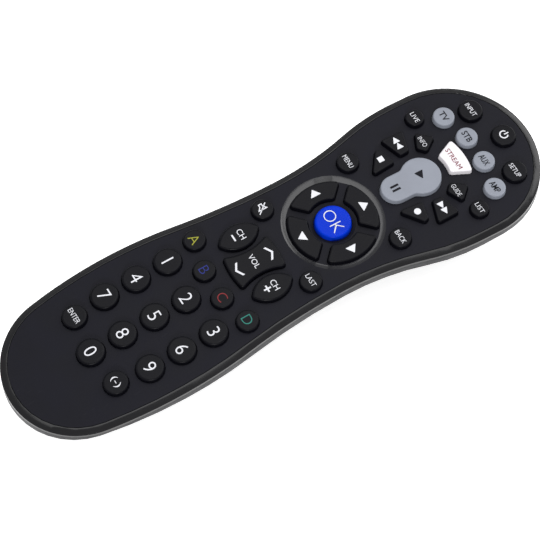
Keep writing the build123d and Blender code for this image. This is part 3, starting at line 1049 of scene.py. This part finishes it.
        # Node, diameter, place, look and print
        rows = (
            ("enter_key", 8.4, -13.41, -66.5, black, Mark(white, "ENTER", 1.7, 5.7, bold=-0.01)),
            ("dash_key", 8.4, 13.41, -66.5, black, Mark(white, "(-)", 2.7, 3.8)),
            ("letter_a_key", 7.6, -16.75, -20.3, black, Mark(yellow, "A", 3.3, bold=-0.02)),
            ("letter_b_key", 7.6, -5.66, -23.1, black, Mark(sky, "B", 3.3, bold=-0.02)),
            ("letter_c_key", 7.6, 5.66, -23.1, black, Mark(red, "C", 3.3, bold=-0.02)),
            ("letter_d_key", 7.6, 16.75, -20.3, black, Mark(teal, "D", 3.3, bold=-0.02)),
            ("menu_key", 7.5, -16.2, 37.6, black, Mark(white, "MENU", 1.7, 5, bold=-0.01)),
            ("back_key", 7.5, 16.2, 37.6, black, Mark(white, "BACK", 1.7, 5, bold=-0.01)),
            ("mute_key", 7.5, -15.1, 4.3, black, Mark(white, shapes=mute_sign(0.35, 4.8, 40))),
            ("last_key", 7.5, 15.1, 4.3, black, Mark(white, "LAST", 1.7, 4.7, bold=-0.01)),
            ("live_key", 6.5, -19.75, 65.9, black, Mark(white, "LIVE", 1.6, 4, bold=-0.015)),
            ("list_key", 6.5, 19.75, 65.9, black, Mark(white, "LIST", 1.6, 4, bold=-0.015)),
            ("device_1_key", 7.5, -15.52, 74.7, grey, Mark(dark, "TV", 2.2, bold=0.012)),
            ("device_2_key", 7.5, -5.19, 77.2, grey, Mark(dark, "STB", 2.2, 4.2, bold=0.012)),
            ("device_3_key", 7.5, 5.19, 77.2, grey, Mark(dark, "AUX", 2.2, 4.2, bold=0.012)),
            ("device_4_key", 7.5, 15.52, 74.7, grey, Mark(dark, "AMP", 2.2, 4.3, bold=0.012)),
            ("input_key", 8.3, -13.37, 84, black, Mark(white, "INPUT", 1.7, 5.3, bold=-0.01)),
            ("setup_key", 8.3, 13.37, 84, black, Mark(white, "SETUP", 1.7, 5.5, bold=-0.01)),
            ("power_key", 8.3, 0, 88.4, black, Mark(white, shapes=power)),
        )
        return [Cap(node, disc(wide), x, y, look, [mark]) for node, wide, x, y, look, mark in rows]

    def pad_keys(self) -> list[Cap]:
        """Lists the key in the middle of the direction pad and the four round it.

        Returns:
            The caps.
        """
        marks = [Mark(Look.WHITE_INK, "OK", 4.1, 8.4, bold=-0.03)]
        edge = {"sunk": self.pad_sunk, "rounding": self.ok_rounding}
        outline = disc(self.ok_diameter)
        made = [Cap("ok_key", outline, 0, self.pad_y, Look.BLUE_KEY, marks, **edge)]
        edge["rounding"] = self.arrow_rounding
        for turn, node in ((0, "up_key"), (90, "left_key"), (180, "down_key"), (270, "right_key")):
            point = arrow(*self.arrow_size, 0, 0, self.arrow_reach)
            marks = [Mark(Look.WHITE_INK, shapes=[turned(point, turn)])]
            made.append(Cap(node, self.sector(turn), 0, self.pad_y, Look.BLACK_KEY, marks, **edge))
        return made

    def corner_keys(self) -> list[Cap]:
        """Lists the straight-sided keys beside the pad.

        Returns:
            The caps.
        """
        white = Look.WHITE_INK
        guide = [(6.6, 40.6), (9.3, 37.9), (15.1, 40.7), (10.4, 45.9)]
        forward = [(9.7, 35.4), (9.5, 31.9), (18.0, 28.9), (17.8, 37.7)]
        record = [(8.3, 29.1), (7.5, 19.5), (15.6, 25.7), (14.9, 27.4)]
        skip = [arrow(*self.skip_size, -90, x) for x in (-self.skip_gap, self.skip_gap)]
        # Node, corners, side and print
        rows = (
            ("info_key", guide, -1, Mark(white, "INFO", 1.6, 4, x=-0.2, y=-0.2, bold=-0.015)),
            ("guide_key", guide, 1, Mark(white, "GUIDE", 1.6, 4.6, x=0.1, y=-0.4, bold=-0.015)),
            ("rewind_key", forward, -1, Mark(white, shapes=[turned(s, 180) for s in skip], x=-0.6)),
            ("fast_forward_key", forward, 1, Mark(white, shapes=skip, x=0.3)),
            ("stop_key", record, -1, Mark(white, shapes=[block(2, 2)])),
            ("record_key", record, 1, Mark(white, shapes=[disc(2.3, 28)], x=-0.6)),
        )
        return [self.corner_cap(node, corners, side, [mark]) for node, corners, side, mark in rows]

    def channel_keys(self) -> list[Cap]:
        """Lists the two channel keys.

        Returns:
            The caps.
        """
        white = Look.WHITE_INK
        x, y = self.leaf_place
        arm, reach = self.sign_arm
        minus = [block(self.sign_width, self.sign_stroke)]
        plus = [*minus, *(block(self.sign_stroke, arm, 0, rise) for rise in (reach, -reach))]
        edge = {"draft": self.slim_draft, "rounding": self.leaf_rounding}
        made = []
        for node, side, sign in (("channel_down_key", -1, minus), ("channel_up_key", 1, plus)):
            marks = [Mark(white, "CH", 2, y=1), Mark(white, shapes=sign, y=-1.8)]
            made.append(Cap(node, self.leaf(), side * x, y, Look.BLACK_KEY, marks, **edge))
        return made

    def volume_cap(self) -> Cap:
        """Describes the volume key, with its word and an arrow head at each end.

        Returns:
            The cap.
        """
        ends = ((0, self.way_reach), (180, -self.way_reach))
        ways = [chevron(*self.way_size, turn, y) for turn, y in ends]
        marks = [Mark(Look.WHITE_INK, "VOL", 1.9), Mark(Look.WHITE_INK, shapes=ways)]
        edge = {"draft": self.slim_draft, "rounding": self.volume_rounding}
        place = (0, self.volume_y)
        return Cap("volume_key", self.hourglass(), *place, Look.BLACK_KEY, marks, **edge)

    def play_cap(self) -> Cap:
        """Describes the play and pause key, with a sign on each lobe.

        Returns:
            The cap.
        """
        middle = (self.play_y + self.pause_y) / 2
        half = self.play_y - middle
        apart = self.pause_bar[0]
        signs = [arrow(3.2, 3, -90, -0.1, half)]
        signs += [block(*self.pause_bar, x, -half) for x in (-apart, apart)]
        marks = [Mark(Look.DARK_INK, shapes=signs)]
        edge = {"draft": self.blend_draft}
        return Cap("play_pause_key", self.lobes(), 0, middle, Look.GREY_KEY, marks, **edge)

    def stream_cap(self) -> Cap:
        """Describes the fan shaped key, with its word.

        Returns:
            The cap.
        """
        marks = [Mark(Look.MAUVE_INK, "STREAM", 1.7, 8.4, y=0.4, bold=-0.002)]
        edge = {"draft": self.blend_draft}
        return Cap("stream_key", self.stream(), 0, self.stream_y, Look.WHITE_KEY, marks, **edge)

    def caps(self) -> list[Cap]:
        """Lists every key."""
        made = [*self.digits(), *self.round_keys(), *self.pad_keys(), *self.corner_keys()]
        return [*made, *self.channel_keys(), self.volume_cap(), self.play_cap(), self.stream_cap()]

    def build(self) -> int:
        """Builds, places and dresses every key and its print.

        Returns:
            The number of pieces.
        """
        slots = {Look.BLACK_KEY: "key_black", Look.GREY_KEY: "key_grey"}
        slots |= {Look.WHITE_KEY: "key_white", Look.BLUE_KEY: "key_blue"}
        count = 0
        for cap in self.caps():
            body = cap.node.removesuffix("_key")
            place = self.deck.place(cap.x, cap.y, cap.sunk)
            low = grown(cap.outline, self.depth * math.tan(math.radians(cap.draft)))
            piece = lay_face(f"{body}_cap", low, -self.depth)
            tall = self.height - cap.crown + self.depth - self.foot
            steps = rounded_steps(tall, cap.draft, cap.rounding)
            steps += [(self.crown_width, cap.crown), (self.flat_width, 0)]
            rise(piece, self.foot, steps)
            settle(piece, place)
            cap.look.dress(piece)
            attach(piece, body)
            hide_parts(cap.node)
            count += 1
            for index, mark in enumerate(cap.marks):
                legend = mark.make(f"{body}_print_{index + 1}")
                top = place @ Matrix.Translation((0, 0, self.height * MM))
                settle(legend, top, self.print_smooth)
                mark.look.dress(legend)
                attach(legend, body)
                count += 1
            log.info("key %s built", body)
        return count


# Shells and insides


@dataclass
class Moulding:
    """A moulded part that keeps its solid's form and gets rounded edges and a smooth skin."""

    node: str
    look: Look
    body: str = "case"
    slot: str = ""
    edge: float = 0
    edge_angle: float = 35
    smooth: float = 15
    segments: int = 3
    merge: float = 0.002
    flatness: float = 0.2

    def build(self) -> bpy.types.Object:
        """Copies the solid's skin, rounds it, dresses it and lets it stand for the solid.

        Returns:
            The piece.
        """
        bpy.ops.object.select_all(action="DESELECT")
        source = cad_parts[self.node]
        piece = bpy.data.objects.new(f"{self.node}_skin", source.data.copy())
        bpy.context.scene.collection.objects.link(piece)
        pick(piece)
        bpy.ops.object.mode_set(mode="EDIT")
        bpy.ops.mesh.select_all(action="SELECT")
        bpy.ops.mesh.remove_doubles(threshold=self.merge * MM)
        bpy.ops.mesh.dissolve_limited(angle_limit=math.radians(self.flatness))
        bpy.ops.object.mode_set(mode="OBJECT")
        if self.edge:
            rounding = piece.modifiers.new("edges", "BEVEL")
            rounding.width = self.edge * MM
            rounding.segments = self.segments
            rounding.limit_method = "ANGLE"
            rounding.angle_limit = math.radians(self.edge_angle)
            bpy.ops.object.modifier_apply(modifier=rounding.name)
        bpy.ops.object.shade_smooth_by_angle(angle=math.radians(self.smooth))
        evening = piece.modifiers.new("even_shading", "WEIGHTED_NORMAL")
        evening.keep_sharp = True
        bpy.ops.object.modifier_apply(modifier=evening.name)
        self.look.dress(piece)
        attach(piece, self.body)
        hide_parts(self.node)
        return piece


@dataclass
class DeckPlate(Moulding):
    """The face plate, with the slope round the direction pad in its own gloss."""

    pad_y: float = 22
    rim_radii: Point = (15.3, 17.6)
    rim_tilt: float = 12
    wall_limit: float = 0.2

    def build(self) -> bpy.types.Object:
        """Builds the plate and gives the pad's rim its finish.

        Returns:
            The piece.
        """
        piece = super().build()
        piece.data.materials.append(Look.RIM.value.material())
        inner, outer = self.rim_radii
        steep = math.cos(math.radians(self.rim_tilt))
        for face in piece.data.polygons:
            reach = math.hypot(face.center.x, face.center.y - self.pad_y * MM) / MM
            if inner < reach < outer and self.wall_limit < face.normal.z < steep:
                face.material_index = 1
        return piece


@dataclass
class Shell:
    """Deck, bezel, housing, battery door and window."""

    bezel_edge: float = 0.45
    bezel_steps: int = 4
    bezel_smooth: float = 40
    wall_edge: float = 0.25
    small_edge: float = 0.2
    smooth: float = 30

    def build(self) -> int:
        """Builds the shell.

        Returns:
            The number of pieces.
        """
        bezel = Moulding(
            "top_bezel",
            Look.BAND,
            slot="bezel",
            edge=self.bezel_edge,
            smooth=self.bezel_smooth,
            segments=self.bezel_steps,
        )
        wall = {"edge": self.wall_edge, "smooth": self.smooth}
        small = {"edge": self.small_edge, "smooth": self.smooth}
        parts = (
            DeckPlate("face_plate", Look.DECK, slot="face"),
            bezel,
            Moulding("bottom_housing", Look.WALL, slot="housing", **wall),
            Moulding("battery_door", Look.WALL, body="door", slot="housing", **small),
            Moulding("ir_window", Look.WINDOW, slot="window", **small),
        )
        for part in parts:
            part.build()
            log.info("shell part %s built", part.node)
        return len(parts)


@dataclass
class Insides:
    """Cells, contacts, board, chip, emitter, mat and screw."""

    cell_edge: float = 0.3
    chip_edge: float = 0.15
    screw_edge: float = 0.1
    smooth: float = 30
    sheet_smooth: float = 20
    emitter_smooth: float = 40

    def build(self) -> int:
        """Builds what is inside the case.

        Returns:
            The number of pieces.
        """
        # Node, look, slot, edge and the angle under which edges are smooth
        parts = (
            ("left_cell", Look.CELL, "cell", self.cell_edge, self.smooth),
            ("right_cell", Look.CELL, "cell", self.cell_edge, self.smooth),
            ("bridge_contact", Look.CONTACT, "contact", 0, self.smooth),
            ("positive_contact", Look.CONTACT, "contact", 0, self.smooth),
            ("negative_contact", Look.CONTACT, "contact", 0, self.smooth),
            ("circuit_board", Look.BOARD, "board", 0, self.sheet_smooth),
            ("control_chip", Look.CHIP, "chip", self.chip_edge, self.smooth),
            ("ir_emitter", Look.EMITTER, "emitter", self.chip_edge, self.emitter_smooth),
            ("keypad_mat", Look.MAT, "mat", 0, self.sheet_smooth),
            ("case_screw", Look.SCREW, "screw", self.screw_edge, self.smooth),
        )
        for node, look, slot, edge, smooth in parts:
            Moulding(node, look, slot=slot, edge=edge, smooth=smooth).build()
            log.info("inner part %s built", node)
        return len(parts)


# Floor, lights and camera


@dataclass
class Studio:
    """Pale floor, soft lights and the camera."""

    target: Vector = field(default_factory=lambda: Vector((2.862, -3.568, 20)))
    azimuth: float = 58.427
    elevation: float = 63.432
    roll: float = 0.654
    distance: float = 840.161
    lens: float = 173.33
    floor_size: float = 6000
    floor_gap: float = 0.1
    floor_cuts: int = 3
    surround: float = 0.75
    sensor: float = 36
    clip: Point = (0.01, 20)
    # Name, place and size in metres, and power in watts of each lamp
    lamps: tuple = (
        ("lamp_over", (-0.2, 0.3, 1.3), 1.2, 11),
        ("lamp_head", (-0.3, 1.3, 0.7), 0.9, 8),
        ("lamp_side", (1.2, -0.7, 0.8), 0.3, 14),
    )

    def build(self) -> None:
        """Makes the floor, the lights and the camera."""
        self.lay_floor()
        self.hang_lights()
        self.set_camera()

    def lay_floor(self) -> None:
        """A wide flat card under the case."""
        bpy.ops.object.select_all(action="DESELECT")
        place = (0, 0, -self.floor_gap * MM)
        bpy.ops.mesh.primitive_plane_add(size=self.floor_size * MM, location=place)
        floor = bpy.context.object
        floor.name = "floor"
        bpy.ops.object.mode_set(mode="EDIT")
        bpy.ops.mesh.select_all(action="SELECT")
        bpy.ops.mesh.subdivide(number_cuts=self.floor_cuts)
        bpy.ops.object.mode_set(mode="OBJECT")
        Look.FLOOR.dress(floor)

    def hang_lights(self) -> None:
        """Pale surroundings and three large soft lamps."""
        world = bpy.data.worlds.new("studio")
        bpy.context.scene.world = world
        world.use_nodes = True
        light = world.node_tree.nodes["Background"].inputs
        light["Color"].default_value = (1, 1, 1, 1)
        light["Strength"].default_value = self.surround
        for name, place, size, power in self.lamps:
            bpy.ops.object.light_add(type="AREA", location=place)
            lamp = bpy.context.object
            lamp.name = name
            lamp.data.shape = "SQUARE"
            lamp.data.size = size
            lamp.data.energy = power
            lamp.rotation_euler = (-Vector(place)).to_track_quat("-Z", "Y").to_euler()

    def set_camera(self) -> None:
        """Stands the camera where the photograph was taken from."""
        a, e, r = (math.radians(v) for v in (self.azimuth, self.elevation, self.roll))
        back = Vector((math.sin(a) * math.cos(e), -math.cos(a) * math.cos(e), math.sin(e)))
        right = Vector((math.cos(a), math.sin(a), 0))
        up = back.cross(right)
        across = right * math.cos(r) + up * math.sin(r)
        upward = up * math.cos(r) - right * math.sin(r)
        data = bpy.data.cameras.new("camera")
        data.lens = self.lens
        data.sensor_width = self.sensor
        data.clip_start, data.clip_end = self.clip
        camera = bpy.data.objects.new("camera", data)
        bpy.context.scene.collection.objects.link(camera)
        turn = Matrix((across, upward, back)).transposed().to_4x4()
        camera.matrix_world = Matrix.Translation((self.target + back * self.distance) * MM) @ turn
        bpy.context.scene.camera = camera
        bpy.context.scene.view_settings.view_transform = "Standard"


def main() -> None:
    """Builds the whole picture in order."""
    logging.basicConfig(level=logging.INFO, format="%(name)s: %(message)s")
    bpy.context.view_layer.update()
    Studio().build()
    log.info("studio ready")
    log.info("%d shell pieces", Shell().build())
    log.info("%d inner pieces", Insides().build())
    log.info("%d key pieces", Keypad(Deck()).build())


if __name__ == "__main__":
    main()
